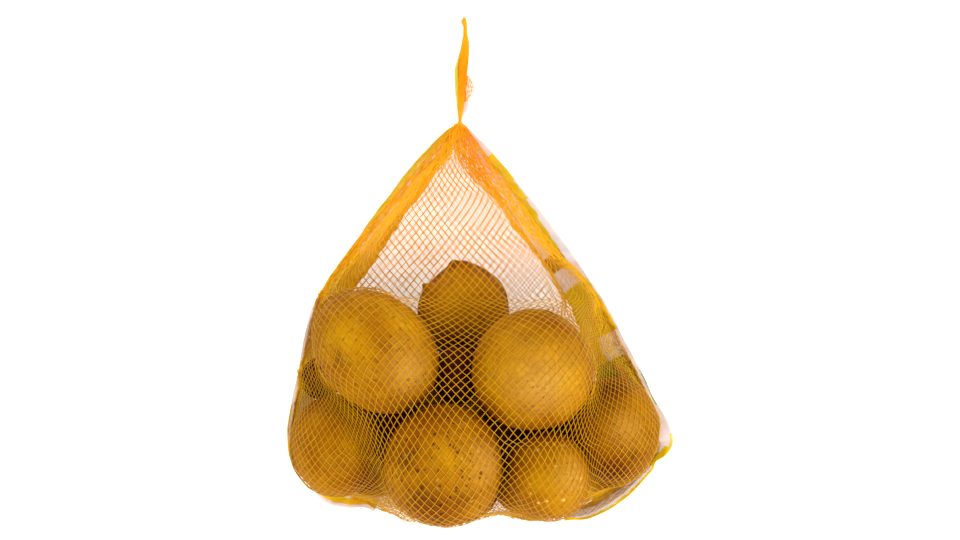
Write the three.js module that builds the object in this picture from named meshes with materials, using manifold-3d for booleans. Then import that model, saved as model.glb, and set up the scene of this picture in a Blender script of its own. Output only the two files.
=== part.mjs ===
// A net bag of potatoes that lies on its back with its shown side up.
// +X is the bag's right side, +Y runs from the bottom seam to the gathered neck and
// its tail, +Z points up from the floor at z = 0. All sizes are in millimetres.
import * as THREE from "three";
import { ConvexGeometry } from "three/addons/geometries/ConvexGeometry.js";
import { LoftGeometry } from "three/addons/geometries/LoftGeometry.js";
import { mergeVertices } from "three/addons/utils/BufferGeometryUtils.js";
import Module from "manifold-3d";

const wasm = await Module();
wasm.setup();

// Each potato: its centre, its half sizes, the heading of its first half size in
// degrees from +X, and how much fatter it is at that end than at the other.
const UPPER_POTATOES = [
  { at: [-60, -46, 82], half: [40, 32, 33], turn: -45, taper: 0.05 },
  { at: [30, -58, 85], half: [36, 35.5, 34], turn: 20, taper: 0.04 },
  { at: [-20, -111, 85], half: [35.5, 35.5, 34], turn: 70, taper: -0.03 },
];
const FRONT_POTATOES = [
  { at: [39, -118, 73], half: [25, 26, 25], turn: 0, taper: 0.04 },
  { at: [30, -122, 25], half: [24, 24, 24], turn: 0, taper: 0.05 },
];
const SIDE_POTATOES = [
  { at: [-81.5, -101, 54], half: [28, 30, 30], turn: 0, taper: -0.04 },
  { at: [74, -93, 50], half: [29.5, 32, 31], turn: 0, taper: 0.05 },
];
const LOWER_POTATOES = [
  { at: [-9, -24, 29], half: [27.5, 30, 28], turn: 0, taper: 0.05 },
  { at: [-63, -44, 25], half: [30, 28, 24], turn: 0, taper: 0.04 },
  { at: [31, -60, 26], half: [24, 24, 24], turn: 0, taper: 0.05 },
  { at: [-20, -94, 27], half: [32, 32, 26], turn: 0, taper: -0.04 },
];
const POTATO_SIDES = 22;
const POTATO_RINGS = 14;
const CORE_SIDES = 12;
const CORE_RINGS = 8;

// The heart of the heap fills the hollows between the potatoes that can't be looked into.
// It reaches these shares of the lower and the side potatoes' sizes from their middles, and
// rises into the upper ones to a seat at this share of their size below the middle. The
// front potatoes only touch it.
const LOWER_HEART = 0.6;
const SIDE_HEART = 0.3;
const SEAT_DEPTH = 0.6;
const SEAT_WIDTH = 0.3;

// Each potato of the lower layer is pressed to a flat spot of this share of its width, and
// the loose net under the side potatoes lies flat over this share of theirs.
const FLAT_SPOT = 0.55;
const SIDE_SPOT = 0.35;
const SPOT_SIDES = 16;

// The gathered neck of the tent of loose net, whose front and back sheets meet a little
// inside the films' upper edges.
const NECK_AT = [-11.6, 85.8, 8];
const NECK_HALF_WIDTH = 2.4;
const NECK_SIDES = 12;
const TENT_INSET = 6;
const TENT_HEM_HEIGHT = 0.5;
const TENT_FLOOR = 2;
const TENT_HEM_FROM_Y = -60;

// The twisted tail from the neck to its tip: how far along +Y, its left and right
// edge in X, and its thickness above the floor. The wide stations are a loose flap.
const TAIL_STATIONS = [
  { y: 83, left: -14.2, right: -9, thick: 8 },
  { y: 88, left: -12.8, right: -10, thick: 6 },
  { y: 94, left: -13, right: -8.8, thick: 6 },
  { y: 100, left: -13.8, right: -7.2, thick: 6.5 },
  { y: 106, left: -14.4, right: -4.4, thick: 6.5 },
  { y: 112, left: -14.6, right: -3.4, thick: 6.5 },
  { y: 118, left: -14.6, right: -6.6, thick: 6 },
  { y: 124, left: -12.9, right: -6.4, thick: 5 },
  { y: 131, left: -11, right: -6.3, thick: 4 },
  { y: 138, left: -9.8, right: -7, thick: 2.8 },
  { y: 143.5, left: -9.8, right: -7.4, thick: 2.6 },
  { y: 147.8, left: -10.8, right: -8, thick: 1.8 },
];
const TAIL_LIFT = 0.4;
const TAIL_SIDES = 12;

// Each side film hangs from a flared upper edge, which is the bag's outline seen from
// above, down to the floor and a little under the bag. A station gives the upper edge
// and how far the lower edge is tucked inwards from it. The stations run round the bag
// counterclockwise, so that outwards is always on their right hand.
const FILM_STATIONS = {
  film_right: [
    { edge: [50, -147.4, 14], tuck: 6 },
    { edge: [66, -145, 20], tuck: 8 },
    { edge: [84, -134.5, 30], tuck: 10 },
    { edge: [101, -117, 42], tuck: 11 },
    { edge: [110.5, -103, 48], tuck: 11 },
    { edge: [111.4, -92, 50], tuck: 12 },
    { edge: [105.5, -78, 48], tuck: 13 },
    { edge: [92.5, -56, 40], tuck: 14 },
    { edge: [71.6, -16, 20], tuck: 16 },
    { edge: [53.2, 11.6, 13], tuck: 17 },
    { edge: [21.1, 53.4, 8], tuck: 13 },
    { edge: [-3.8, 81, 6], tuck: 5 },
    { edge: [-9.4, 86, 6], tuck: 2 },
  ],
  film_left: [
    { edge: [-14, 86, 6], tuck: 2 },
    { edge: [-21.8, 80.5, 6], tuck: 5 },
    { edge: [-46.2, 53.4, 8], tuck: 13 },
    { edge: [-76.6, 11.6, 16], tuck: 16 },
    { edge: [-95, -16, 34], tuck: 15 },
    { edge: [-102.8, -44, 46], tuck: 13 },
    { edge: [-108, -72, 52], tuck: 12 },
    { edge: [-111.7, -98, 51], tuck: 11 },
    { edge: [-109.5, -112, 46], tuck: 10 },
    { edge: [-97, -127.6, 36], tuck: 10 },
    { edge: [-78, -139, 24], tuck: 9 },
    { edge: [-62, -142, 16], tuck: 6 },
  ],
};
const FILM_THICK = 0.8;
const FILM_FLOOR = 0.7;
const FILM_BEND = 0.3;
const FILM_STEPS = 60;
const FILM_ROWS = 6;
const FILM_GAP = 0.4;

const NET_ORANGE = 0xf0960f;
const FILM_CREAM = 0xeec890;

function asSolid(geometry) {
  const bare = new THREE.BufferGeometry();
  bare.setAttribute("position", geometry.attributes.position);
  bare.setIndex(geometry.index);
  const merged = mergeVertices(bare);
  return new wasm.Manifold(new wasm.Mesh({
    numProp: 3,
    vertProperties: merged.attributes.position.array,
    triVerts: new Uint32Array(merged.index.array),
  }));
}

function asGeometry(solid) {
  const mesh = solid.getMesh();
  const geometry = new THREE.BufferGeometry();
  geometry.setAttribute("position", new THREE.BufferAttribute(mesh.vertProperties, mesh.numProp));
  geometry.setIndex(new THREE.BufferAttribute(mesh.triVerts, 1));
  geometry.computeVertexNormals();
  return geometry;
}

// A potato is a ball whose girth swells towards one end, stretched to a share of its half sizes.
function potatoGeometry({ at, half, turn, taper }, share = 1, sides = POTATO_SIDES, rings = POTATO_RINGS) {
  const geometry = new THREE.SphereGeometry(1, sides, rings);
  const place = geometry.attributes.position;
  for (let i = 0; i < place.count; i += 1) {
    const girth = 1 + taper * place.getX(i);
    place.setXYZ(i, place.getX(i), place.getY(i) * girth, place.getZ(i) * girth);
  }
  geometry.scale(...half.map((size) => size * share));
  geometry.rotateZ(THREE.MathUtils.degToRad(turn));
  geometry.translate(...at);
  return geometry;
}

function pointsOf(geometry) {
  const place = geometry.attributes.position;
  return Array.from({ length: place.count }, (_, i) => new THREE.Vector3().fromBufferAttribute(place, i));
}

function ring(count, pointAt) {
  return Array.from({ length: count }, (_, i) => {
    const angle = (2 * Math.PI * i) / count;
    return pointAt(Math.cos(angle), Math.sin(angle));
  });
}

function spotPoints({ at, half }, share, height) {
  const [width, depth] = half.map((size) => size * share);
  return ring(SPOT_SIDES, (c, s) => new THREE.Vector3(at[0] + width * c, at[1] + depth * s, height));
}

function neckPoints() {
  const [x, y, z] = NECK_AT;
  return ring(NECK_SIDES, (c, s) => new THREE.Vector3(x + NECK_HALF_WIDTH * c, y, z + NECK_HALF_WIDTH * s));
}

function corePoints(potatoes, share) {
  return potatoes.flatMap((potato) => pointsOf(potatoGeometry(potato, share, CORE_SIDES, CORE_RINGS)));
}

function floorPoints() {
  return [
    ...LOWER_POTATOES.flatMap((potato) => spotPoints(potato, FLAT_SPOT, 0)),
    ...SIDE_POTATOES.flatMap((potato) => spotPoints(potato, SIDE_SPOT, 0)),
  ];
}

function heartGeometry() {
  const seats = UPPER_POTATOES.flatMap((potato) => (
    spotPoints(potato, SEAT_WIDTH, potato.at[2] - SEAT_DEPTH * potato.half[2])));
  return new ConvexGeometry([
    ...corePoints(LOWER_POTATOES, LOWER_HEART),
    ...corePoints(SIDE_POTATOES, SIDE_HEART),
    ...seats,
    ...floorPoints(),
  ]);
}

// Two points for each film station beside the tent: where the tent's front sheet meets the
// film's slope, and where its back sheet reaches the floor.
function tentHemPoints() {
  const stations = Object.values(FILM_STATIONS).flat();
  return stations.filter(({ edge }) => edge[1] > TENT_HEM_FROM_Y).flatMap(({ edge, tuck }) => {
    const [x, y, z] = edge;
    const inwards = Math.sign(NECK_AT[0] - x);
    return [
      new THREE.Vector3(x + inwards * TENT_INSET, y, z * TENT_HEM_HEIGHT),
      new THREE.Vector3(x + inwards * (TENT_INSET + tuck), y, TENT_FLOOR),
    ];
  });
}

// The tent of loose net from the neck to the heap, whose lower layer it wraps.
function tentGeometry() {
  return new ConvexGeometry([
    ...corePoints(LOWER_POTATOES, LOWER_HEART),
    ...floorPoints(),
    ...neckPoints(),
    ...tentHemPoints(),
  ]);
}

function tailGeometry() {
  const sections = TAIL_STATIONS.map(({ y, left, right, thick }) => {
    const middle = (left + right) / 2;
    const halfWidth = (right - left) / 2;
    const halfThick = thick / 2;
    return ring(TAIL_SIDES, (c, s) => new THREE.Vector3(
      middle - halfWidth * c, y, TAIL_LIFT + halfThick + halfThick * s));
  });
  return new LoftGeometry(sections, { capStart: true, capEnd: true });
}

// One closed loop round a film's cross-section: down its outer face and up its inner
// face. The middle line is a bend that drops from the edge and turns in at the floor.
function filmSection(edge, outward, tuck, thick) {
  const bend = new THREE.QuadraticBezierCurve(
    new THREE.Vector2(0, edge.z),
    new THREE.Vector2(0, FILM_FLOOR + FILM_BEND * (edge.z - FILM_FLOOR)),
    new THREE.Vector2(-tuck, FILM_FLOOR));
  const face = (side) => Array.from({ length: FILM_ROWS + 1 }, (_, i) => {
    const share = i / FILM_ROWS;
    const along = bend.getTangent(share);
    const flat = bend.getPoint(share).add(new THREE.Vector2(-along.y, along.x).multiplyScalar(side * thick / 2));
    return edge.clone().setZ(flat.y).addScaledVector(outward, flat.x);
  });
  return [...face(1), ...face(-1).reverse()];
}

function filmGeometry(stations, thick) {
  const path = new THREE.CatmullRomCurve3(stations.map(({ edge }) => new THREE.Vector3(...edge)));
  const tucks = new THREE.SplineCurve(stations.map(({ tuck }, i) => new THREE.Vector2(i, tuck)));
  const sections = Array.from({ length: FILM_STEPS + 1 }, (_, i) => {
    const share = i / FILM_STEPS;
    const edge = path.getPoint(share);
    const along = path.getTangent(share);
    const outward = new THREE.Vector3(along.y, -along.x, 0).normalize();
    return filmSection(edge, outward, tucks.getPoint(share).y, thick);
  });
  return new LoftGeometry(sections, { capStart: true, capEnd: true });
}

function addMesh(group, name, geometry, color, roughness) {
  const material = new THREE.MeshStandardMaterial({ color, roughness, metalness: 0 });
  const mesh = new THREE.Mesh(geometry, material);
  mesh.name = name;
  group.add(mesh);
}

const bag = new THREE.Group();
let net = asSolid(heartGeometry()).add(asSolid(tentGeometry())).add(asSolid(tailGeometry()));
for (const potato of [...UPPER_POTATOES, ...FRONT_POTATOES, ...SIDE_POTATOES, ...LOWER_POTATOES]) {
  net = net.add(asSolid(potatoGeometry(potato)));
}
for (const [name, stations] of Object.entries(FILM_STATIONS)) {
  addMesh(bag, name, filmGeometry(stations, FILM_THICK), FILM_CREAM, 0.3);
  net = net.subtract(asSolid(filmGeometry(stations, FILM_THICK + 2 * FILM_GAP)));
}
addMesh(bag, "net_bag", asGeometry(net), NET_ORANGE, 0.4);

export default bag;
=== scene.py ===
# %% [markdown]
# # A net bag of potatoes
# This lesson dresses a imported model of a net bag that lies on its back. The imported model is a
# plain solid with the right size. Here it becomes what it is on a shop's shelf: potatoes with
# real skin, a fine plastic net pulled over them, two side films and a twisted tail.
# The frame comes first, because every piece is placed in it, in metres.

# %% Load the frame
import math

import bmesh
import bpy
import numpy as np
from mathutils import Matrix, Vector


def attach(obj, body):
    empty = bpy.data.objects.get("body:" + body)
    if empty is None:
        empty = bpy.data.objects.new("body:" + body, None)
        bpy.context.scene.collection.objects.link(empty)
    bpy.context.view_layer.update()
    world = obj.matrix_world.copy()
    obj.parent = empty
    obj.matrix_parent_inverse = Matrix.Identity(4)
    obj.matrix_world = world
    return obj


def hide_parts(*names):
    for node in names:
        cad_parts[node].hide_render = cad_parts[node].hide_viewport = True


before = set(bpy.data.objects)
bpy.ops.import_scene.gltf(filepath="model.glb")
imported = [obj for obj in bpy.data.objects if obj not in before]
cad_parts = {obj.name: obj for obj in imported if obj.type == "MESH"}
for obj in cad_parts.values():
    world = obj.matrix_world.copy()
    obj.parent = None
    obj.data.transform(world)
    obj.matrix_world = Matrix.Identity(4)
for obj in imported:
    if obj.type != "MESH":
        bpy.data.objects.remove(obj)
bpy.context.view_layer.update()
scene = bpy.context.scene
MM = 0.001

# %% [markdown]
# ## Camera
# The bag was photographed from the front while it hung. It now lies with that side up, so the
# camera looks straight down. A long lens far away keeps the tall potatoes in the middle from
# looking larger than the flat tail. The lens follows from the width that the picture shows at the
# height where the picture is measured.

# %% Camera
PIXEL = 0.58 * MM
FRAME_WIDTH = 960 * PIXEL
CAMERA_HEIGHT = 3.0
SHARP_PLANE = 45 * MM
SENSOR = 36.0


def linked(name, data):
    """A new object in the scene for a camera, a lamp or a mesh."""
    made = bpy.data.objects.new(name, data)
    scene.collection.objects.link(made)
    return made


camera_data = bpy.data.cameras.new("camera")
camera_data.sensor_width = SENSOR
camera_data.lens = SENSOR * (CAMERA_HEIGHT - SHARP_PLANE) / FRAME_WIDTH
camera = linked("camera", camera_data)
camera.location = (0.5 * PIXEL, 0, CAMERA_HEIGHT)
scene.camera = camera
scene.view_settings.view_transform = "Standard"
scene.view_settings.look = "None"
print("lens in mm:", round(camera_data.lens, 1))

# %% [markdown]
# ## Helpers for shader nodes
# The sky and every finish are small node trees. Links that are written one by one are slow to read,
# so these helpers add a node and connect its inputs in a line. An input takes either a number or
# another node's output, and *feed* finds out which it was given.

# %% Node helpers


def feed(tree, socket, value):
    """Links an output to an input, or sets the input's own value."""
    if isinstance(value, bpy.types.NodeSocket):
        tree.links.new(value, socket)
    else:
        socket.default_value = value


def feed_all(tree, node, values):
    """Feeds several inputs of a node, by their names or places."""
    for name, value in values.items():
        feed(tree, node.inputs[name], value)


def add_node(tree, kind, values=None, **settings):
    """A node of a kind, with its settings and its input values or links."""
    made = tree.nodes.new(kind)
    for name, value in settings.items():
        setattr(made, name, value)
    feed_all(tree, made, values or {})
    return made


def math_node(tree, operation, first, second, clamp=False):
    """The value of one sum on numbers or sockets."""
    made = add_node(tree, "ShaderNodeMath", {0: first, 1: second}, operation=operation, use_clamp=clamp)
    return made.outputs[0]


def times(tree, first, second):
    """The product of two numbers or sockets."""
    return math_node(tree, "MULTIPLY", first, second)


def scaled(tree, value, factor, plus):
    """A value times a factor, plus a start value."""
    made = add_node(tree, "ShaderNodeMath", {0: value, 1: factor, 2: plus}, operation="MULTIPLY_ADD")
    return made.outputs[0]


def mix_colour(tree, share, first, second, blend="MIX"):
    """A colour between two colours."""
    values = {0: share, 6: first, 7: second}
    return add_node(tree, "ShaderNodeMix", values, data_type="RGBA", blend_type=blend).outputs[2]


def ramp(tree, value, low, high):
    """A smooth step from 0 at low to 1 at high."""
    made = add_node(tree, "ShaderNodeMapRange", {"Value": value, "From Min": low, "From Max": high},
                    interpolation_type="SMOOTHSTEP")
    return made.outputs["Result"]


def painted(tree, name):
    """The value that a piece's vertices carry under a name."""
    return add_node(tree, "ShaderNodeAttribute", attribute_name=name).outputs["Fac"]


def new_material(name):
    """A material with its tree, its Principled shader and Object coordinates."""
    material = bpy.data.materials.new(name)
    material.use_nodes = True
    tree = material.node_tree
    shader = tree.nodes["Principled BSDF"]
    where = tree.nodes.new("ShaderNodeTexCoord").outputs["Object"]
    return material, tree, shader, where


def colour(red, green, blue):
    """A linear colour from the 0 to 255 values that a screen shows."""
    def linear(value):
        share = value / 255
        return share / 12.92 if share <= 0.04045 else ((share + 0.055) / 1.055) ** 2.4
    return (linear(red), linear(green), linear(blue), 1.0)


print("white as a linear colour:", colour(255, 255, 255))

# %% [markdown]
# ## Light
# The photograph has no hard shadow, but the gaps between the potatoes are nearly black. An even sky
# would shine straight down into them. So this sky is dim overhead and bright at the sides: it shapes
# the potatoes softly, and little light reaches the gaps. A weak soft lamp at the lower right gives
# the crowns a side that is a little brighter.

# %% Lamp and sky
KEY_PLACE = (0.75, -0.7, 1.3)
KEY_SIZE = 1.0
KEY_POWER = 11.0
ZENITH_LIGHT = 0.42
SIDE_LIGHT = 1.5
DIM_FROM, DIM_TO = 0.72, 0.98

lamp_data = bpy.data.lights.new("key", "AREA")
lamp_data.size = KEY_SIZE
lamp_data.energy = KEY_POWER
lamp = linked("key", lamp_data)
lamp.location = KEY_PLACE
lamp.rotation_euler = (-Vector(KEY_PLACE)).to_track_quat("-Z", "Y").to_euler()

world = bpy.data.worlds.new("sky")
world.use_nodes = True
sky = world.node_tree
toward = add_node(sky, "ShaderNodeTexCoord")
parts = add_node(sky, "ShaderNodeSeparateXYZ", {0: toward.outputs["Generated"]})
fade = add_node(sky, "ShaderNodeMapRange", {
    "Value": parts.outputs["Z"], "From Min": DIM_FROM, "From Max": DIM_TO,
    "To Min": SIDE_LIGHT, "To Max": ZENITH_LIGHT}, interpolation_type="SMOOTHSTEP")
feed_all(sky, sky.nodes["Background"], {"Strength": fade.outputs["Result"], "Color": (1, 1, 1, 1)})
scene.world = world
print("sky strength overhead and at the sides:", ZENITH_LIGHT, SIDE_LIGHT)

# %% [markdown]
# ## Shared effects
# Two effects are used by several finishes and become node groups with named sockets, built once:
# *mottle*, a cloudy value at a coarse and a fine scale, and *spots*, scattered dots. The spots come
# from a Voronoi texture, because each of its cells has one middle and one random colour. The middle
# gives the dot, and the colour says which dots are left out. A little noise warps the dots, so that
# they aren't perfectly round.

# %% Shared groups
WARP_SCALE = 900.0
WARP_REACH = 1.2 * MM


def new_group(name, inputs, outputs, kind="ShaderNodeTree"):
    """An empty node group with named sockets, and its input and output nodes."""
    group = bpy.data.node_groups.new(name, kind)
    for way, sockets in (("INPUT", inputs), ("OUTPUT", outputs)):
        for label, socket in sockets.items():
            group.interface.new_socket(label, in_out=way, socket_type="NodeSocket" + socket)
    return group, group.nodes.new("NodeGroupInput"), group.nodes.new("NodeGroupOutput")


def mottle_group():
    """A cloudy value between 0 and 1 at a coarse and a fine scale."""
    group, given, made = new_group(
        "mottle", {"Vector": "Vector", "Coarse": "Float", "Fine": "Float"},
        {"Clouds": "Float", "Grain": "Float"})
    for label, scale in (("Clouds", "Coarse"), ("Grain", "Fine")):
        noise = add_node(group, "ShaderNodeTexNoise", {
            "Vector": given.outputs["Vector"], "Scale": given.outputs[scale],
            "Detail": 5.0, "Roughness": 0.6})
        group.links.new(ramp(group, noise.outputs["Fac"], 0.3, 0.7), made.inputs[label])
    return group


def spots_group():
    """Scattered dots: 1 in a dot's middle and 0 between dots, with some dots left out."""
    group, given, made = new_group(
        "spots", {"Vector": "Vector", "Scale": "Float", "Size": "Float", "Share": "Float"}, {"Mask": "Float"})
    warp = add_node(group, "ShaderNodeTexNoise", {"Vector": given.outputs["Vector"], "Scale": WARP_SCALE})
    shift = add_node(group, "ShaderNodeVectorMath", {0: warp.outputs["Color"], 1: (WARP_REACH,) * 3},
                     operation="MULTIPLY")
    place = add_node(group, "ShaderNodeVectorMath", {0: given.outputs["Vector"], 1: shift.outputs[0]})
    cells = add_node(group, "ShaderNodeTexVoronoi", {
        "Vector": place.outputs[0], "Scale": given.outputs["Scale"], "Randomness": 1.0})
    near = math_node(group, "SUBTRACT", 1.0,
                     math_node(group, "DIVIDE", cells.outputs["Distance"], given.outputs["Size"]), clamp=True)
    dot = ramp(group, near, 0.0, 0.5)
    split = add_node(group, "ShaderNodeSeparateColor", {0: cells.outputs["Color"]})
    kept = math_node(group, "LESS_THAN", split.outputs[0], given.outputs["Share"])
    group.links.new(times(group, dot, kept), made.inputs["Mask"])
    return group


MOTTLE = mottle_group()
SPOTS = spots_group()


def use_group(tree, group, **values):
    """A shared group placed in a material with its own values."""
    return add_node(tree, "ShaderNodeGroup", values, node_tree=group)


print("shared groups:", MOTTLE.name, SPOTS.name)

# %% [markdown]
# ## The potatoes
# Each potato is a ball with a fatter end. Real ones are never smooth: they have broad flat
# places, shallow eyes with a brow, and now and then a knob. An icosphere has even triangles and
# no poles, so every one of these can be pushed into it as a soft dent or bump. Nearly all of them
# go inwards, so the net that is pulled over the plain shape hardly ever sinks in.
# The upper and side ones show. Those named under and small fill the heap below and between them, so
# that no floor shines through it. The small ones are darkened with painted shade, so that the gaps look deep.

# %% Potato places


def one_potato(at, half, turn=0, taper=0.03, speckle=0.4, tone_and_shade=0.95):
    """A potato's middle and half sizes, given in mm, its heading in degrees, its taper and looks."""
    at, half = np.array(at) * MM, np.array(half) * MM
    return dict(at=at, half=half, turn=turn, taper=taper, speckle=speckle, tone_and_shade=tone_and_shade)


# A tone near 1 is a potato's own skin tone. The lower tones of back_middle and side_right are painted shade.
POTATOES = {
    "upper_left": one_potato((-60, -46, 82), (40, 32, 33), -45, taper=0.05, speckle=0.5, tone_and_shade=1.0),
    "upper_right": one_potato((30, -58, 85), (36, 35.5, 34), 20, taper=0.04, speckle=0.15, tone_and_shade=1.04),
    "upper_front": one_potato((-20, -111, 85), (35.5, 35.5, 34), 70, taper=-0.03, speckle=1.0, tone_and_shade=0.98),
    "upper_small": one_potato((39, -118, 73), (25, 26, 25), taper=0.04, speckle=0.3, tone_and_shade=1.0),
    "back_middle": one_potato((-9, -24, 29), (27.5, 30, 28), taper=0.05, speckle=0.3, tone_and_shade=0.86),
    "side_left": one_potato((-81.5, -101, 54), (28, 30, 30), taper=-0.04, speckle=0.35),
    "side_right": one_potato((74, -93, 50), (29.5, 32, 31), taper=0.05, speckle=0.45, tone_and_shade=0.85),
    "under_left": one_potato((-63, -44, 25), (30, 28, 24), taper=0.04),
    "under_right": one_potato((31, -60, 26), (24, 24, 24), taper=0.05),
    "under_middle": one_potato((-20, -94, 27), (32, 32, 26), taper=-0.04),
    "under_front": one_potato((30, -122, 25), (24, 24, 24), taper=0.05),
    # the small ones' dark tones are painted shade deep in the gaps
    "small_middle": one_potato((-14, -60, 57), (17.5, 17.5, 17.5), tone_and_shade=0.2),
    "small_left": one_potato((-49, -89, 52), (14, 15, 14), tone_and_shade=0.2),
    "small_right": one_potato((18, -93, 46), (17, 17, 16.5), tone_and_shade=0.2),
    "small_side": one_potato((-92, -63, 47), (12, 13, 13), tone_and_shade=0.16),
    "small_front": one_potato((-3, -131, 42), (14, 14, 14), tone_and_shade=0.5),
    "small_corner": one_potato((-61, -117, 18), (18, 17, 16), tone_and_shade=0.4),
    "small_edge": one_potato((45, -92, 22), (16, 15, 19), tone_and_shade=0.2),
    "small_end": one_potato((66, -116, 17), (15, 15, 15), tone_and_shade=0.6),
}
print("potatoes:", len(POTATOES))

# %% [markdown]
# ## Marks, painted shade and painted highlights of single potatoes
# A few potatoes have marks that catch the eye. Each is a round place on the skin: the direction
# from the potato's middle and how wide it is, as an angle. A knob also says how far it stands out in
# millimetres, and a painted shade how dark it is. Stains are brown, painted shades darken a side where
# less light falls, painted highlights are paler where the light falls, and a flaky skin has bright scuffs.

# %% Marks, painted shades and painted highlights of single potatoes
KNOBS = {
    "back_middle": [
        ((0.5, 0.85, 0.1), -4.5, 0.34), ((-0.66, 0.75, 0.1), -4.5, 0.26), ((-0.84, 0.53, 0.1), 4.5, 0.09),
        ((-0.24, 0.96, 0.15), 2.6, 0.13), ((0.02, 0.98, 0.2), 1.6, 0.09)],
}
STAINS = {
    "upper_left": [((0.18, 0.1, 0.97), 0.1), ((-0.55, -0.17, 0.8), 0.14)],
    "upper_front": [((-0.31, -0.49, 0.81), 0.26), ((0.31, -0.54, 0.78), 0.18), ((-0.6, 0.1, 0.8), 0.2)],
    "back_middle": [((-0.25, 0.93, 0.25), 0.2), ((0.35, -0.1, 0.9), 0.1)],
    "side_left": [((0.46, -0.75, 0.47), 0.08)],
    "side_right": [((0.5, -0.45, 0.74), 0.12)],
}
# painted shade: darker sides of some potatoes, each with direction, width and depth
PAINTED_SHADES = {
    "upper_right": [((0.1, 0.8, 0.6), 0.45, 0.3)],
    "upper_front": [
        ((0.0, 0.78, 0.62), 0.4, 0.35), ((-0.2, -0.8, 0.6), 0.5, 0.5), ((-0.7, 0.1, 0.7), 0.35, 0.25)],
    "back_middle": [((0.0, -0.6, 0.8), 0.4, 0.35)],
    "side_left": [((0.5, -0.6, 0.6), 0.5, 0.4), ((-0.8, -0.1, 0.6), 0.4, 0.15)],
    "side_right": [
        ((-0.65, 0.0, 0.76), 0.4, 0.55), ((0.1, -0.75, 0.65), 0.5, 0.7), ((0.05, 0.8, 0.6), 0.4, 0.65),
        ((-0.6, 0.5, 0.6), 0.45, 0.7)],
}
# painted highlights: paler tan places where the light falls on a potato
PAINTED_HIGHLIGHTS = {
    "upper_left": [((0.58, -0.3, 0.75), 0.4)],
    "upper_right": [((0.14, -0.2, 0.97), 0.5)],
    "upper_front": [((0.75, 0.05, 0.66), 0.4)],
    "upper_small": [((0.6, 0.0, 0.8), 0.4)],
    "side_right": [((0.35, 0.05, 0.94), 0.35)],
}
FLAKY = {"upper_small": 1.0, "upper_front": 0.3}
USUAL_FLAKY = 0.1
print("potatoes with shades:", len(PAINTED_SHADES), "with stains:", len(STAINS))

# %% [markdown]
# ## Relief of the skin
# Flat places, eyes and knobs are all the same thing: a soft dent or bump round a direction, which
# fades with the angle from it. Every potato draws its own from a seed, so no two are alike, and the
# same ones come back in every run. Each eye is deeper on one side, which makes its brow.

# %% Potato relief
FLAT_PLACES = 7
FLAT_DEEP = (0.5, 1.9)
FLAT_WIDE = (0.4, 0.8)
EYES = 9
EYE_DEEP = 0.9
EYE_WIDE = (0.07, 0.12)
BROW = 0.8


def turn_matrix(potato):
    """The potato's own axes as the columns of a matrix."""
    angle = math.radians(potato["turn"])
    c, s = math.cos(angle), math.sin(angle)
    return np.array([[c, -s, 0], [s, c, 0], [0, 0, 1]])


def unit_vectors(draw, count):
    """Directions spread at random over a ball."""
    made = draw.normal(size=(count, 3))
    return made / np.linalg.norm(made, axis=1, keepdims=True)


def soft_place(directions, toward, width):
    """A round place on a ball: 1 in its middle, and less with the angle from there."""
    centre = np.array(toward) / np.linalg.norm(toward)
    angle = np.arccos(np.clip(directions @ centre, -1, 1))
    return np.exp(-(angle / width) ** 2)


def potato_relief(directions, seed, knobs):
    """How far the skin stands out of the plain shape, in metres, for each direction."""
    draw = np.random.default_rng(seed)
    height = np.zeros(len(directions))
    for centre in unit_vectors(draw, FLAT_PLACES):
        deep = draw.uniform(*FLAT_DEEP) * MM
        height -= deep * soft_place(directions, centre, draw.uniform(*FLAT_WIDE))
    for centre in unit_vectors(draw, EYES):
        brow = np.cross(centre, unit_vectors(draw, 1)[0])
        side = directions @ (brow / np.linalg.norm(brow))
        width = draw.uniform(*EYE_WIDE)
        height -= EYE_DEEP * MM * soft_place(directions, centre, width) * (1 + BROW * np.tanh(side / width))
    for toward, stands, width in knobs:
        height += stands * MM * soft_place(directions, toward, width)
    return height


def place_share(directions, places):
    """How deep each direction lies in one of some round places of the skin, from 0 to 1."""
    share = np.zeros(len(directions))
    for toward, width, *depth in places:
        share = np.maximum(share, (depth[0] if depth else 1.0) * soft_place(directions, toward, width))
    return share


def potato_points(directions, potato, height):
    """Points of a potato's skin for unit directions in its own axes."""
    girth = 1 + potato["taper"] * directions[:, 0]
    own = directions * (potato["half"] + height[:, None])
    own[:, 1:] *= girth[:, None]
    return own @ turn_matrix(potato).T + potato["at"]


print("dents on a potato:", FLAT_PLACES + EYES)

# %% [markdown]
# ## Making the potatoes
# Where two potatoes nearly touch, hardly any light comes in, and a potato's flank sees less of it
# than its crown. Soft light in the scene shows only a part of that, so each vertex also carries a
# tone with painted shade in it: lower near other potatoes, low on the flanks and at the painted shades
# of single potatoes, times the potato's own tone. The finish reads it, together with the other marks,
# as attributes. Potatoes that hardly show get fewer triangles.

# %% Make the potatoes
SUBDIVISIONS = 5
HIDDEN_SUBDIVISIONS = 4
# painted shade where potatoes nearly touch
CREVICE = 8 * MM
CREVICE_SHADE = 0.6
FLANK_SHADE = 0.35
FIRST_SEED = 40


def set_attribute(mesh, name, values):
    """A number for every vertex, which a material or a node tree can read."""
    layer = mesh.attributes.new(name, "FLOAT", "POINT")
    layer.data.foreach_set("value", np.asarray(values, np.float32))


def crevice_share(points, name):
    """How close each point lies to another potato: 1 where they touch and 0 far away."""
    share = np.zeros(len(points))
    for other, potato in POTATOES.items():
        if other != name:
            own = (points - potato["at"]) @ turn_matrix(potato)
            reach = np.linalg.norm(own / potato["half"], axis=1)
            gap = np.maximum(reach - 1, 0) * potato["half"].min()
            share = np.maximum(share, np.exp(-gap / CREVICE))
    return share


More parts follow.
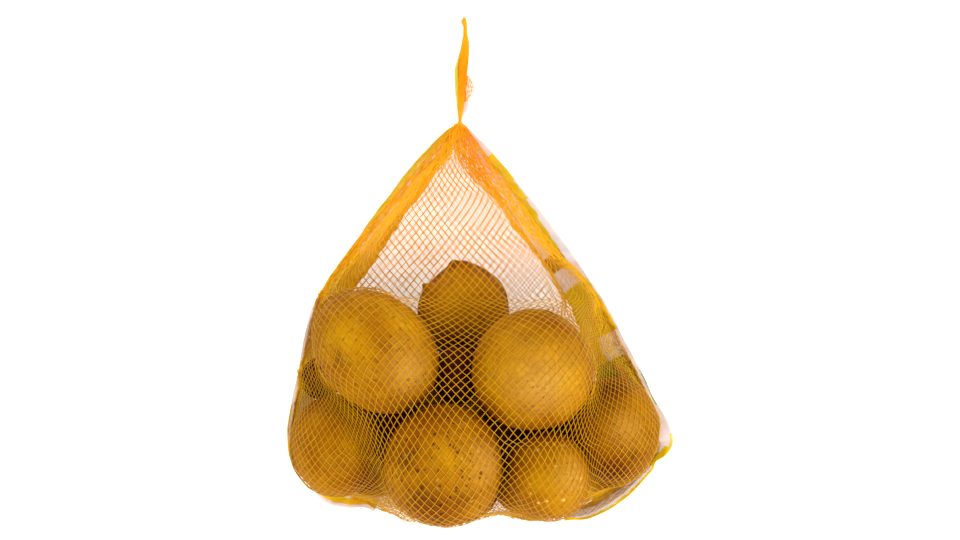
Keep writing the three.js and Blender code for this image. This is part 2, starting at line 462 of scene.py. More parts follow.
def ball_mesh(name):
    """An even ball of triangles."""
    hidden = name.startswith(("under", "small"))
    made = bmesh.new()
    steps = HIDDEN_SUBDIVISIONS if hidden else SUBDIVISIONS
    bmesh.ops.create_icosphere(made, subdivisions=steps, radius=1.0)
    mesh = bpy.data.meshes.new(name)
    made.to_mesh(mesh)
    made.free()
    return mesh


def make_potato(name, potato, seed):
    """One potato as its own piece."""
    mesh = ball_mesh(name)
    flat = np.zeros(len(mesh.vertices) * 3)
    mesh.vertices.foreach_get("co", flat)
    directions = flat.reshape(-1, 3)
    height = potato_relief(directions, seed, KNOBS.get(name, []))
    points = potato_points(directions, potato, height)
    mesh.vertices.foreach_set("co", points.ravel())
    turned = directions @ turn_matrix(potato).T
    # painted shade: darker at the given soft places, near other potatoes and on the flanks
    lit = 1 - place_share(turned, PAINTED_SHADES.get(name, []))
    lit *= 1 - CREVICE_SHADE * crevice_share(points, name)
    flank = FLANK_SHADE * (1 - np.clip(turned[:, 2], 0, 1)) ** 2
    set_attribute(mesh, "tone_and_shade", potato["tone_and_shade"] * lit * (1 - flank))
    set_attribute(mesh, "speckle", np.full(len(points), potato["speckle"]))
    set_attribute(mesh, "flaky", np.full(len(points), FLAKY.get(name, USUAL_FLAKY)))
    set_attribute(mesh, "stain", place_share(turned, STAINS.get(name, [])))
    set_attribute(mesh, "painted_highlight", place_share(turned, PAINTED_HIGHLIGHTS.get(name, [])))
    mesh.shade_smooth()
    return linked("potato_" + name, mesh)


potatoes = [make_potato(name, values, FIRST_SEED + k) for k, (name, values) in enumerate(POTATOES.items())]
print("triangles of a potato that shows:", len(potatoes[0].data.polygons))
print("triangles of a hidden potato:", len(potatoes[-1].data.polygons))

# %% [markdown]
# ## The skin of a potato
# A washed potato is golden brown and cloudy, with small dark pores, a few larger brown marks and
# pale scuffs where the skin has rubbed off. The skin finish lays these over each other, adds the
# painted highlights as a paler tan, reads from the attributes how much of each a place has, and sinks
# the pores and marks as bump. Last it darkens everything by the tone, which holds the painted shade.
# Blue and green fade faster than red in that painted shade, because light that has gone from skin
# to skin in a gap comes out warmer.

# %% Potato skin finish
SKIN_GOLD = colour(204, 146, 0)
SKIN_OCHRE = colour(164, 100, 0)
SKIN_DULL = colour(176, 124, 22)
SKIN_BROWN = colour(112, 64, 10)
SKIN_HIGHLIGHT_TAN = colour(216, 164, 76)
PORE_BROWN = colour(88, 46, 4)
SCUFF_PALE = colour(232, 188, 96)
SKIN_SHINE = 0.04


def potato_skin():
    """Golden, cloudy skin with pores, brown marks, stains, pale scuffs, painted highlights and painted shade.
    """
    material, tree, shader, where = new_material("potato skin")
    cloudy = use_group(tree, MOTTLE, Vector=where, Coarse=38.0, Fine=420.0)
    patches = use_group(tree, MOTTLE, Vector=where, Coarse=85.0, Fine=160.0)
    speckle = painted(tree, "speckle")
    stain = painted(tree, "stain")
    tone_and_shade = painted(tree, "tone_and_shade")
    base = mix_colour(tree, cloudy.outputs["Clouds"], SKIN_OCHRE, SKIN_GOLD)
    dull = times(tree, ramp(tree, patches.outputs["Clouds"], 0.5, 1.0), 0.6)
    base = mix_colour(tree, dull, base, SKIN_DULL)
    # painted highlight: a paler tan where the light falls
    painted_highlight = painted(tree, "painted_highlight")
    base = mix_colour(tree, times(tree, painted_highlight, 0.55), base, SKIN_HIGHLIGHT_TAN)
    grainy = times(tree, cloudy.outputs["Grain"], 0.22)
    base = mix_colour(tree, grainy, base, SKIN_BROWN)
    broken = scaled(tree, patches.outputs["Grain"], 0.7, 0.35)
    base = mix_colour(tree, times(tree, stain, broken), base, SKIN_BROWN)
    pores = use_group(tree, SPOTS, Vector=where, Scale=300.0, Size=0.3, Share=0.35)
    marks = use_group(tree, SPOTS, Vector=where, Scale=215.0, Size=0.32, Share=0.75)
    dots = math_node(tree, "MAXIMUM", times(tree, pores.outputs["Mask"], 0.5),
                     times(tree, marks.outputs["Mask"], speckle))
    base = mix_colour(tree, times(tree, dots, 0.8), base, PORE_BROWN)
    flaky = painted(tree, "flaky")
    flakes = use_group(tree, SPOTS, Vector=where, Scale=210.0, Size=0.34, Share=0.28)
    base = mix_colour(tree, times(tree, flakes.outputs["Mask"], flaky), base, SCUFF_PALE)
    grey = add_node(tree, "ShaderNodeCombineColor", {
        0: tone_and_shade, 1: math_node(tree, "POWER", tone_and_shade, 1.65), 2: math_node(tree, "POWER", tone_and_shade, 2.2)})
    base = mix_colour(tree, 1.0, base, grey.outputs[0], "MULTIPLY")
    height = math_node(tree, "SUBTRACT", cloudy.outputs["Grain"], times(tree, dots, 1.2))
    bump = add_node(tree, "ShaderNodeBump", {"Height": height, "Strength": 0.35, "Distance": 0.25 * MM})
    feed_all(tree, shader, {
        "Base Color": base, "Roughness": scaled(tree, cloudy.outputs["Grain"], 0.15, 0.48),
        "Normal": bump.outputs[0], "Specular IOR Level": SKIN_SHINE})
    return material


skin = potato_skin()
for piece in potatoes:
    piece.data.materials.append(skin)
print("skin nodes:", len(skin.node_tree.nodes))

# %% [markdown]
# ## The edges of the side films
# A film panel closes each side of the bag. The net's front sheet is welded to it a little inside
# its outer edge, and the back sheet to its inner edge, which lies on the floor. So the films'
# lines also hold the net, and they come first. Each row below is a place on the outer edge in
# millimetres, how far the inner edge is tucked in, and how wide the free margin is.

# %% Film lines
FILM_STATIONS = {
    "film_right": [
        (50, -147.4, 14, 6, 1.5), (66, -145, 20, 8, 3), (84, -134.5, 30, 12, 3.5), (93.4, -124.7, 36, 14, 3),
        (101, -116, 42, 14, 2.5), (102.5, -111.5, 44, 13, 2), (108, -108, 46, 14, 5),
        (112, -101.5, 48, 14, 8), (111.4, -94, 50, 16, 8), (107.3, -84, 49, 18, 6), (102, -75.4, 47, 22, 3.5),
        (92.5, -56, 40, 25, 2.5), (71.6, -16, 20, 19, 3), (59.3, 2.4, 15.3, 17, 3.2),
        (53.2, 11.6, 13, 17, 6.5), (21.1, 53.4, 8, 13, 5), (-3.8, 81, 6, 5, 2), (-9.4, 86, 6, 2, 0.6)],
    "film_left": [
        (-14, 86, 6, 2, 0.6), (-21.8, 80.5, 6, 5, 2.5), (-46.2, 53.4, 8, 13, 4), (-76.6, 11.6, 16, 16, 1),
        (-95, -16, 34, 15, 1), (-102.8, -44, 46, 13, 1.5), (-108, -72, 52, 12, 2), (-111.7, -98, 51, 11, 2.4),
        (-109.5, -112, 46, 10, 2.4), (-99, -124, 37, 10, 3), (-92, -134, 31, 11, 6.5),
        (-78, -139.6, 24, 11, 7.5), (-68, -139.5, 18, 8, 4), (-62, -142, 16, 6, 2)],
}
FILM_STEPS = 240
FILM_FLOOR = 0.7 * MM
WELD_DROP = 0.55


def smooth_path(points, count):
    """Even steps along a soft curve through points. Columns after the third ride along."""
    points = np.asarray(points, float)
    line = np.vstack([2 * points[0] - points[1], points, 2 * points[-1] - points[-2]])
    pieces = []
    for a, b, c, d in zip(line, line[1:], line[2:], line[3:]):
        knots = np.cumsum([0] + [np.linalg.norm(q[:3] - p[:3]) ** 0.5 for p, q in ((a, b), (b, c), (c, d))])
        t = np.linspace(knots[1], knots[2], 40)[:, None]

        def between(p, q, low, high):
            return ((high - t) * p + (t - low) * q) / (high - low)

        first, second, third = (between(p, q, knots[k], knots[k + 1]) for k, (p, q) in
                                enumerate(((a, b), (b, c), (c, d))))
        inner = between(first, second, knots[0], knots[2])
        outer = between(second, third, knots[1], knots[3])
        pieces.append(between(inner, outer, knots[1], knots[2]))
    return even_steps(np.vstack(pieces), count)


def step_lengths(points):
    """The distances from point to point along a line."""
    return np.linalg.norm(np.diff(points, axis=0), axis=1)


def steps_along(points, shares):
    """Points of a line at given shares of its length."""
    step = step_lengths(points[:, :3])
    keep = np.concatenate([[True], step > 1e-9])
    points = points[keep]
    reach = np.concatenate([[0], np.cumsum(step[keep[1:]])])
    wanted = np.asarray(shares) * reach[-1]
    return np.stack([np.interp(wanted, reach, points[:, k]) for k in range(points.shape[1])], axis=1)


def even_steps(points, count):
    """The same line with a given number of points at even distances."""
    return steps_along(points, np.linspace(0, 1, count))


def film_lines(stations):
    """The outer edge, the weld and the inner edge of a film, and outwards along it."""
    table = smooth_path(np.array(stations, float) * MM, FILM_STEPS)
    edge = table[:, :3]
    along = np.gradient(edge[:, :2], axis=0)
    outward = np.stack([along[:, 1], -along[:, 0], np.zeros(len(along))], axis=1)
    outward /= np.linalg.norm(outward, axis=1, keepdims=True)
    weld = edge - outward * table[:, 4:5]
    weld[:, 2] -= WELD_DROP * table[:, 4]
    inner = edge - outward * table[:, 3:4]
    inner[:, 2] = FILM_FLOOR
    return dict(edge=edge, weld=weld, inner=inner, outward=outward)


LINES = {name: film_lines(stations) for name, stations in FILM_STATIONS.items()}
for name, lines in LINES.items():
    print(name, "edge in mm:", round(step_lengths(lines["edge"]).sum() / MM))

# %% [markdown]
# ## The side films
# Each film is a sheet of points: across it runs the free margin from the outer edge to the weld, then
# the wall that bends down to the floor and under the bag. Thin film is never flat, so waves are added
# along the sheet, strongest at the free edge. A copy of the sheet a little below it and a strip round
# the rim make it a closed thin solid. Two attributes tell the finish how far along and across it is.

# %% Film sheets
MARGIN_ROWS = 6
WALL_ROWS = 16
FILM_THICK = 0.12 * MM
EDGE_WAVE = 0.9 * MM
EDGE_FLUTTER = 0.35 * MM
WALL_WAVE = 0.35 * MM
WAVE_LENGTHS = 9 * MM, 30 * MM
FLUTTER_LENGTHS = 12 * MM, 60 * MM
CRINKLE_LENGTHS = 4 * MM, 18 * MM
WALL_BEND = 0.3
FILM_SEEDS = {"film_left": 5, "film_right": 9}


def waves(along, across, seed, shortest, longest, count=14):
    """A smooth random height between about -1 and 1 over a sheet."""
    draw = np.random.default_rng(seed)
    total = np.zeros_like(along)
    for _ in range(count):
        length = draw.uniform(shortest, longest)
        slant = draw.uniform(-0.8, 0.8)
        total += np.sin(2 * np.pi * (along + slant * across) / length + draw.uniform(0, 2 * np.pi))
    return total / math.sqrt(count)


def film_sheet(name, seed):
    """The middle surface of a film as a grid of points, with its along and across in metres."""
    lines = LINES[name]
    edge, weld, inner = lines["edge"], lines["weld"], lines["inner"]
    rows = [edge + (weld - edge) * share for share in np.linspace(0, 1, MARGIN_ROWS, endpoint=False)]
    bend = weld * [1, 1, WALL_BEND]
    for share in np.linspace(0, 1, WALL_ROWS):
        rows.append((1 - share) ** 2 * weld + 2 * share * (1 - share) * bend + share ** 2 * inner)
    sheet = np.stack(rows, axis=1)
    along = np.concatenate([[0], np.cumsum(step_lengths(edge[:, :2]))])
    if name == "film_right":
        along = along[-1] - along
    along = np.repeat(along[:, None], sheet.shape[1], axis=1)
    flat = np.linalg.norm((sheet - edge[:, None, :])[..., :2], axis=-1)
    loose = np.linspace(1, 0, MARGIN_ROWS + WALL_ROWS)[None, :]
    free = np.clip(loose * 2 - 1, 0, 1)
    sheet[..., 2] += EDGE_WAVE * free * waves(along, flat, seed, *WAVE_LENGTHS)
    flutter = EDGE_FLUTTER * free * waves(along, flat, seed + 1, *FLUTTER_LENGTHS)
    sheet += lines["outward"][:, None, :] * np.minimum(flutter - 0.5 * EDGE_FLUTTER * free, 0)[..., None]
    crinkle = WALL_WAVE * (1 - free) * waves(along, flat, seed + 2, *CRINKLE_LENGTHS)
    sheet += lines["outward"][:, None, :] * crinkle[..., None]
    sheet[..., 2] = np.maximum(sheet[..., 2], FILM_FLOOR)
    return sheet, along, flat


def grid_normals(sheet):
    """The direction that each point of a sheet faces."""
    normal = np.cross(np.gradient(sheet, axis=0), np.gradient(sheet, axis=1))
    return normal / np.maximum(np.linalg.norm(normal, axis=-1, keepdims=True), 1e-12)


def outward_faces(mesh):
    """Turns the faces of a closed mesh outwards and smooths their shading."""
    tidy = bmesh.new()
    tidy.from_mesh(mesh)
    bmesh.ops.recalc_face_normals(tidy, faces=tidy.faces)
    tidy.to_mesh(mesh)
    tidy.free()
    mesh.shade_smooth()


def closed_sheet(name, sheet, attributes):
    """A thin closed solid round a sheet of points, as an object."""
    long, wide = sheet.shape[:2]
    normal = grid_normals(sheet) * FILM_THICK / 2
    points = np.concatenate([(sheet + normal).reshape(-1, 3), (sheet - normal).reshape(-1, 3)])
    place = np.arange(long * wide).reshape(long, wide)
    below = long * wide
    faces = np.stack([place[:-1, :-1], place[1:, :-1], place[1:, 1:], place[:-1, 1:]], axis=-1).reshape(-1, 4)
    under = faces[:, [0, 3, 2, 1]] + below
    rim = np.concatenate([place[0, ::-1], place[1:, 0], place[-1, 1:], place[-2:0:-1, -1]])
    after = np.roll(rim, -1)
    strip = np.stack([rim, rim + below, after + below, after], axis=-1)
    mesh = bpy.data.meshes.new(name)
    mesh.from_pydata(points.tolist(), [], np.concatenate([faces, under, strip]).tolist())
    for label, values in attributes.items():
        set_attribute(mesh, label, np.concatenate([values.ravel(), values.ravel()]))
    mesh.validate()
    outward_faces(mesh)
    return linked(name, mesh)


films = {}
film_points = []
for name, seed in FILM_SEEDS.items():
    sheet, along, across = film_sheet(name, seed)
    film_points.append(sheet.reshape(-1, 3))
    films[name] = closed_sheet(name, sheet, {"along": along, "across": across})
    print(name, "faces:", len(films[name].data.polygons), "along mm:", round(along.max() / MM))

# %% [markdown]
# ## Pulling the net tight
# The net is a sheet of diamonds: every knot is tied to four neighbours. A tight net pulls each knot
# to the middle of its neighbours and only stops at a potato or the floor, so the sheet finds its own
# shape if each knot is moved there again and again. Knots of odd and even rows take turns, because
# a knot's neighbours are always in the other rows. A strand that isn't stretched to its own length
# keeps only a weak pull, so slack cells stay slack.

# %% Net values and borders
FRONT_COLUMNS, FRONT_ROWS = 86, 64
BACK_COLUMNS, BACK_ROWS = 46, 42
TENT_ROWS = 19
FRONT_SPREAD = (0, 0.5, 1), (0, 0.12, 1)
BACK_SPREAD = (0, 0.4, 1), (0, 0.12, 1)
HEM_SPREAD = (0, 0.22, 0.78, 1), (0, 0.31, 0.69, 1)
STRAND = 3.7 * MM
CELL_WIDTH = np.array([(0, 4.75), (38, 4.0), (66, 2.9)]) * MM
CELL_HEIGHT = 5.6 * MM
STRAND_RADIUS = 0.21 * MM
NET_GAP = 0.4 * MM
SLACK_PULL = 0.05
NECK = np.array([-11.6, 86.2, 8]) * MM
NECK_RADIUS = 1.3 * MM
HEM = np.array([
    (-57.4, -140.9, 12), (-51.6, -142.7, 10), (-41.8, -147.6, 8), (-27.3, -147, 8), (-11, -146.2, 8),
    (1.2, -143.8, 9), (6, -145.2, 8), (12.2, -142.4, 9), (17, -144.6, 8), (30, -146.2, 8), (38.3, -146.2, 9),
    (43, -147.4, 11)])


def split_at_corner(name, key):
    """A film's line as its side part from corner to neck and its bottom part from corner to seam."""
    line = LINES[name][key]
    corner = int(np.argmax(np.abs(LINES[name]["edge"][:, 0])))
    if name == "film_left":
        return line[corner::-1], line[corner:]
    return line[corner:], line[corner::-1]


def row_level(from_neck):
    """The height on the page of a tent's row, counted from the neck."""
    return NECK[1] - CELL_HEIGHT * from_neck


def side_knots(line, rows, spread):
    """Knots on a side: level with the tent's rows, and spread over what is left below them."""
    step = step_lengths(line)
    reach = np.concatenate([[0], np.cumsum(step)]) / step.sum()
    level = np.interp(row_level(np.arange(TENT_ROWS, -1, -1)), line[:, 1], reach)
    heap = np.linspace(0, 1, rows - TENT_ROWS, endpoint=False)
    return steps_along(line, np.concatenate([np.interp(heap, *spread) * level[0], level]))


def sheet_border(key, columns, rows, neck_side, spread):
    """Where a sheet's border knots are held: bottom, left, right and neck."""
    left_side, left_bottom = split_at_corner("film_left", key)
    right_side, right_bottom = split_at_corner("film_right", key)
    seam = smooth_path([left_bottom[-1], *(HEM * MM), right_bottom[-1]], 160)
    bottom = np.vstack([left_bottom, seam[1:-1], right_bottom[::-1]])
    bottom = steps_along(bottom, np.interp(np.linspace(0, 1, columns + 1), *HEM_SPREAD))
    angle = np.pi * (1 - np.linspace(0, 1, columns + 1))
    ring = np.stack([np.cos(angle), np.zeros(columns + 1), neck_side * np.sin(angle)], axis=1)
    neck = NECK + NECK_RADIUS * ring
    left = side_knots(np.vstack([left_side, neck[:1]]), rows, spread)
    right = side_knots(np.vstack([right_side, neck[-1:]]), rows, spread)
    return bottom, left, right, neck


def first_guess(bottom, left, right, neck, height):
    """A sheet blended from its borders. Even half-rows have a knot more than odd ones."""
    columns, rows = len(bottom) - 1, len(left) - 1
    sheet = np.zeros((2 * rows + 1, columns + 1, 3))
    levels = np.linspace(0, 1, rows + 1)
    tent_share = (row_level(TENT_ROWS) - HEM[0, 1] * MM) / (NECK[1] - HEM[0, 1] * MM)
    for j, row in enumerate(np.linspace(0, 1, 2 * rows + 1)):
        u = np.minimum((np.arange(columns + 1) + 0.5 * (j % 2)) / columns, 1)[:, None]
        side = [[np.interp(row, levels, line[:, k]) for k in range(3)] for line in (left, right)]
        ends = (1 - u) * side[0] + u * side[1]
        v = np.interp(row, [0, 1 - TENT_ROWS / rows, 1], [0, tent_share, 1])
        middle = (1 - v) * bottom + v * neck
        corners = (1 - u) * ((1 - v) * bottom[0] + v * neck[0]) + u * ((1 - v) * bottom[-1] + v * neck[-1])
        sheet[j] = middle + ends - corners
    sheet[1:-1, :, 2] = height
    sheet[0], sheet[-1] = bottom, neck
    sheet[0::2, 0], sheet[0::2, -1] = left, right
    return sheet


print("front knots:", FRONT_COLUMNS * FRONT_ROWS * 2, "back knots:", BACK_COLUMNS * BACK_ROWS * 2)

# %% [markdown]
# A knot must not sink into a potato, a film or the floor. Potatoes push it straight out of their
# plain shape. The films are sampled into a map of heights, and the knot stays above that map.
# In the tent between heap and neck the cells keep their width in the middle, and the columns that
# find no room there are squeezed into a band at each side. A table of the open middle, measured on
# the photograph, says where the bands begin.

# %% Obstacles and guides
MAP_CELL = 1.5 * MM
MAP_SIZE = 220
MAP_LOW = -165 * MM
FILM_GAP = 0.2 * MM
OPEN_MIDDLE = np.array([
    (-50, -92, 70), (-30, -83, 57), (-9.3, -73, 45.8), (3.5, -65, 35.4), (13.9, -58.6, 27.3),
    (27.8, -49.9, 18), (42.9, -36, 6.4), (54.5, -27.3, -5.2), (66, -17.5, -14), (71, -15.5, -15.3),
    (90, -11.7, -11.5)]) * MM
TENT_CENTRE = np.array([(-50, -9), (66, -15.5)]) * MM
LEAST_ROOM = 0.5 * MM
EVEN_LEFT = np.array([(0, 0.35), (20, 0.75), (55, 0.8), (70, 1)]) * [MM, 1]
EVEN_RIGHT = np.array([(0, 0.05), (25, 0.7), (55, 0.8), (70, 1)]) * [MM, 1]
CROWN_LINE = -25 * MM
CROWN = np.array([
    (-100, 34), (-92, 38), (-80, 68), (-62, 94), (-40, 96), (-15, 90), (10, 94), (30, 96), (50, 84), (66, 50),
    (76, 22)]) * MM


def push_out(points, potato):
    """Moves points that are inside a potato to its skin."""
    turn = turn_matrix(potato)
    half = potato["half"] + NET_GAP
    own = (points - potato["at"]) @ turn / half
    girth = 1 + potato["taper"] * np.clip(own[..., 0], -1, 1)
    own[..., 1:] /= girth[..., None]
    reach = np.linalg.norm(own, axis=-1)
    inside = reach < 1
    if inside.any():
        fixed = own[inside] / np.maximum(reach[inside], 1e-6)[:, None]
        fixed[:, 1:] *= girth[inside][:, None]
        points[inside] = (fixed * half) @ turn.T + potato["at"]
    return points


def height_map(points):
    """The highest film point in each cell of a grid, spread to the next cells."""
    place = np.clip(((points[:, :2] - MAP_LOW) / MAP_CELL).astype(int), 0, MAP_SIZE - 1)
    grid = np.zeros((MAP_SIZE, MAP_SIZE))
    np.maximum.at(grid, (place[:, 0], place[:, 1]), points[:, 2])
    spread = [np.roll(np.roll(grid, a, 0), b, 1) for a in (-1, 0, 1) for b in (-1, 0, 1)]
    return np.where(grid > 0, grid, np.maximum.reduce(spread))


FILM_MAP = height_map(np.vstack(film_points))


def film_height(points):
    """The height of a film under each point, blended between map cells."""
    where = np.clip((points[..., :2] - MAP_LOW) / MAP_CELL - 0.5, 0, MAP_SIZE - 2)
    low = where.astype(int)
    part = where - low
    total = 0
    for a in (0, 1):
        for b in (0, 1):
            share = np.abs(1 - a - part[..., 0]) * np.abs(1 - b - part[..., 1])
            total = total + share * FILM_MAP[low[..., 0] + a, low[..., 1] + b]
    return total


def kept_out(points, touched):
    """Points lifted off the films and the floor, and pushed out of some potatoes."""
    points[..., 2] = np.maximum(points[..., 2], film_height(points) + STRAND_RADIUS + FILM_GAP)
    for name in touched:
        points = push_out(points, POTATOES[name])
    return points


def squeezed(over, most, room, even):
    """How far a knot gets into a band: in even steps, or in full steps that soon grow smaller."""
    over = np.maximum(over, 0)
    return room * (even * over / np.maximum(most, MM) + (1 - even) * (1 - np.exp(-over / room)))


def tent_guide(points, index, columns, left, right, shift):
    """Where a knot of the tent belongs in x: on the open middle's cells or in a side band."""
    y = points[..., 1]
    open_left = np.interp(y, OPEN_MIDDLE[:, 0], OPEN_MIDDLE[:, 1])
    open_right = np.interp(y, OPEN_MIDDLE[:, 0], OPEN_MIDDLE[:, 2])
    room_left = np.maximum(open_left - np.interp(y, left[:, 1], left[:, 0]), LEAST_ROOM)
    room_right = np.maximum(np.interp(y, right[:, 1], right[:, 0]) - open_right, LEAST_ROOM)
    centre = np.interp(y, *TENT_CENTRE.T)
    width = np.interp(y, *CELL_WIDTH.T)
    half = columns / 2 * width
    guide = centre + (index - columns / 2 - shift) * width
    inside = np.clip(guide, open_left, open_right)
    even_left, even_right = np.interp(y, *EVEN_LEFT.T), np.interp(y, *EVEN_RIGHT.T)
    left_step = squeezed(open_left - guide, open_left - centre + half, room_left, even_left)
    right_step = squeezed(guide - open_right, centre + half - open_right, room_right, even_right)
    return inside - left_step + right_step


def tent_height(points):
    """How high the tent stands: on straight lines from the neck to the crowns of the heap."""
    share = (NECK[1] - points[..., 1]) / (NECK[1] - CROWN_LINE)
    x = NECK[0] + (points[..., 0] - NECK[0]) / np.maximum(share, 0.02)
    return NECK[2] + np.minimum(share, 1) * (np.interp(x, CROWN[:, 0], CROWN[:, 1]) - NECK[2])


print("film map cells in use:", int((FILM_MAP > 0).sum()))

# %% [markdown]
# ## Letting the net settle
# One round moves every free knot towards its four neighbours, draws the tent's knots to their guide,
# lets everything sag a little and pushes out what has sunk in. Each step goes a bit too far on
# purpose, because that settles in fewer rounds. In the first stage the strands have no length, which
# spreads the knots evenly. In the second they have their own, so that slack cells can hang.

# %% Net relaxation
GUIDE_PULL = 0.4
GUIDE_FADE_ROWS = 4
HURRY = 1.8


def relax(sheet, touched, strand, guided, lifted, shift, sag, rounds):
    """Moves every free knot towards its neighbours until the sheet is tight or slack at rest."""
    count, columns = len(sheet), sheet.shape[1] - 1
    left, right = sheet[0::2, 0], sheet[0::2, -1]
    level = row_level((count - 1 - np.arange(count)) / 2)
    for _ in range(rounds):
        for parity in (1, 0):
            rows = np.arange(2 - parity, count - 1, 2)
            own = slice(0, -1) if parity else slice(1, -1)
            index = np.arange(columns + 1)[own] + 0.5 * parity
            sides = (slice(0, -1), slice(1, None)) if parity else (slice(0, -2), slice(1, -1))
            now = sheet[rows][:, own]
            stiff, move = 0, 0
            for step in (-1, 1):
                for near in sides:
                    reach = sheet[rows + step][:, near] - now
                    length = np.linalg.norm(reach, axis=-1)
                    pull = np.maximum(1 - strand / np.maximum(length, 1e-6), 0) + SLACK_PULL
                    stiff = stiff + 1 + SLACK_PULL
                    move = move + pull[..., None] * reach
            now = now + HURRY * move / stiff
            aim = tent_guide(now, index[None, :], columns, left, right, shift)
            led = guided[rows][:, None]
            now[..., 0] += led * (aim - now[..., 0])
            now[..., 1] += led * (level[rows][:, None] - now[..., 1])
            now[..., 2] += lifted * led * np.maximum(tent_height(now) - now[..., 2], 0)
            now[..., 2] -= sag
            sheet[rows[:, None], np.arange(columns + 1)[own][None, :]] = kept_out(now, touched)
    return sheet


def tight_sheet(key, columns, rows, neck_side, spread, height, touched, shift, sag, rounds):
    """A sheet of net between its borders, pulled tight in two stages."""
    border = sheet_border(key, columns, rows, neck_side, spread)
    sheet = first_guess(*border, height)
    from_neck = np.linspace(rows, 0, len(sheet))
    guided = GUIDE_PULL * np.clip((TENT_ROWS - from_neck) / GUIDE_FADE_ROWS, 0, 1)
    lifted = max(neck_side, 0)
    sheet = relax(sheet, touched, 0.0, guided, lifted, shift, 5 * sag, rounds // 12)
    return relax(sheet, touched, STRAND, guided, lifted, shift, sag, rounds)


FRONT_TOUCHES = [
    "upper_left", "upper_right", "upper_front", "upper_small", "back_middle", "side_left", "side_right",
    "small_side", "under_front"]
BACK_TOUCHES = [
    "back_middle", "side_left", "side_right", "under_left", "under_right", "under_middle", "under_front"]
front = tight_sheet("weld", FRONT_COLUMNS, FRONT_ROWS, neck_side=1, spread=FRONT_SPREAD, height=135 * MM,
                    touched=FRONT_TOUCHES, shift=0.0, sag=0.01 * MM, rounds=1200)
back = tight_sheet("inner", BACK_COLUMNS, BACK_ROWS, neck_side=-1, spread=BACK_SPREAD, height=0.5 * MM,
                   touched=BACK_TOUCHES, shift=0.22, sag=0.1 * MM, rounds=400)
print("tight front sheet's top in mm:", round(front[0::2, :, 2].max() / MM, 1))

# %% [markdown]
# ## Folds and crumpled places
# A net straight from this sum is too even. On the bag a few folds draw the knots to a line, slow
# waves run over the whole sheet, and each knot is shifted a little, more so where the net is
# gathered. How gathered it is follows from the gap between neighbouring knots, weighted by a table
# along the bag. The strands and their finish use the same share later; the finish paints gathered
# net brighter and glowing, as painted light.

# %% Folds and crumpling
FOLDS = [((38, 6), (42, -20), 6, 0.4), ((18, -98), (72, -101), 6, 0.5), ((-78, -105), (-56, -109), 5, 0.5)]
EVEN_SHIFT = 0.12 * MM
SLOW_SHIFT = 0.45 * MM
SLOW_LENGTHS = 16 * MM, 60 * MM
CRUMPLE = 0.5 * MM
GATHERED_BELOW = 3.0 * MM
GATHERED_GAIN = 1.3
# This table also sets where the finish paints the net brighter and glowing: painted light.
GATHERED_PLACES = np.array([(-145, 1.0), (-126, 0.8), (-108, 0.3), (-90, 0.3), (-45, 1.0)]) * [MM, 1]


def folded(sheet):
    """Pulls knots towards the lines where the loose net has a fold."""
    for start, end, reach, pull in FOLDS:
        start, end = np.array(start) * MM, np.array(end) * MM
        along = (end - start) / np.linalg.norm(end - start)
        side = np.array([-along[1], along[0]])
        where = sheet[..., :2] - (start + end) / 2
        across = where @ side
        beyond = np.maximum(np.abs(where @ along) - np.linalg.norm(end - start) / 2, 0)
        share = pull * np.exp(-(across / (reach * MM)) ** 2 - (beyond / (reach * MM)) ** 2)
        sheet[1:-1, 1:-1, :2] -= ((share * across)[..., None] * side)[1:-1, 1:-1]
    return sheet


def gathered_share(sheet):
    """How closely the net is bunched at each knot, from 0 to 1: most along the films and the hem."""
    across = np.linalg.norm(np.diff(sheet, axis=1), axis=-1)
    across = np.concatenate([across, across[:, -1:]], axis=1)
    along = np.linalg.norm(sheet[2:] - sheet[:-2], axis=-1)
    along = np.concatenate([along, along[-2:]], axis=0)
    gap = np.minimum(across, along)
    share = np.interp(sheet[..., 1], *GATHERED_PLACES.T)
    return share * np.clip(GATHERED_GAIN - GATHERED_GAIN * gap / GATHERED_BELOW, 0, 1)


def crumpled(sheet, touched, seed):
    """Small random shifts, larger where the net is gathered, and still outside of what it lies on."""
    draw = np.random.default_rng(seed)
    size = EVEN_SHIFT + CRUMPLE * gathered_share(sheet)
    shift = draw.normal(size=sheet.shape) * size[..., None]
    for axis in (0, 1):
        slow = waves(sheet[..., 1], sheet[..., 0], seed + 10 + axis, *SLOW_LENGTHS)
        shift[..., axis] += SLOW_SHIFT * slow
    sheet[1:-1, 1:-1] += shift[1:-1, 1:-1]
    sheet[1:-1, 1:-1] = kept_out(sheet[1:-1, 1:-1], touched)
    return sheet


SMALL_TOUCHES = ["small_front", "small_corner", "small_end"]
front = crumpled(folded(front), FRONT_TOUCHES + SMALL_TOUCHES, seed=21)
back = crumpled(back, BACK_TOUCHES, seed=22)
print("front sheet's top in mm:", round(front[0::2, :, 2].max() / MM, 1))

# %% [markdown]
# ## From knots to strands
# A strand runs on a slant from knot to knot through the whole sheet. Each one becomes a line of
# vertices, and a Geometry Nodes tree turns all lines into tubes at once. A second tree sets a
# little bead on every knot, where the real strands are welded together. Gathered strands are made a
# little slimmer, so that a bunch of them doesn't turn into a solid mass.

# %% Strand and knot trees
SIDES = 5
SLIMMER = 0.35
BEAD_RADIUS = 1.35 * STRAND_RADIUS


def slanted_lines(sheet, lean):
    """All strands of a sheet that lean one way, as lists of knot places."""
    count, columns = len(sheet), sheet.shape[1] - 1
    starts = [(0, i) for i in range(columns + 1)]
    starts += [(j, 0 if lean > 0 else columns) for j in range(2, count - 1, 2)]
    lines = []
    for j, i in starts:
        line = []
        while j < count and 0 <= i <= columns - j % 2:
            line.append(sheet[j, i])
            i += j % 2 if lean > 0 else j % 2 - 1
            j += 1
        if len(line) > 1:
            lines.append(np.array(line))
    return lines


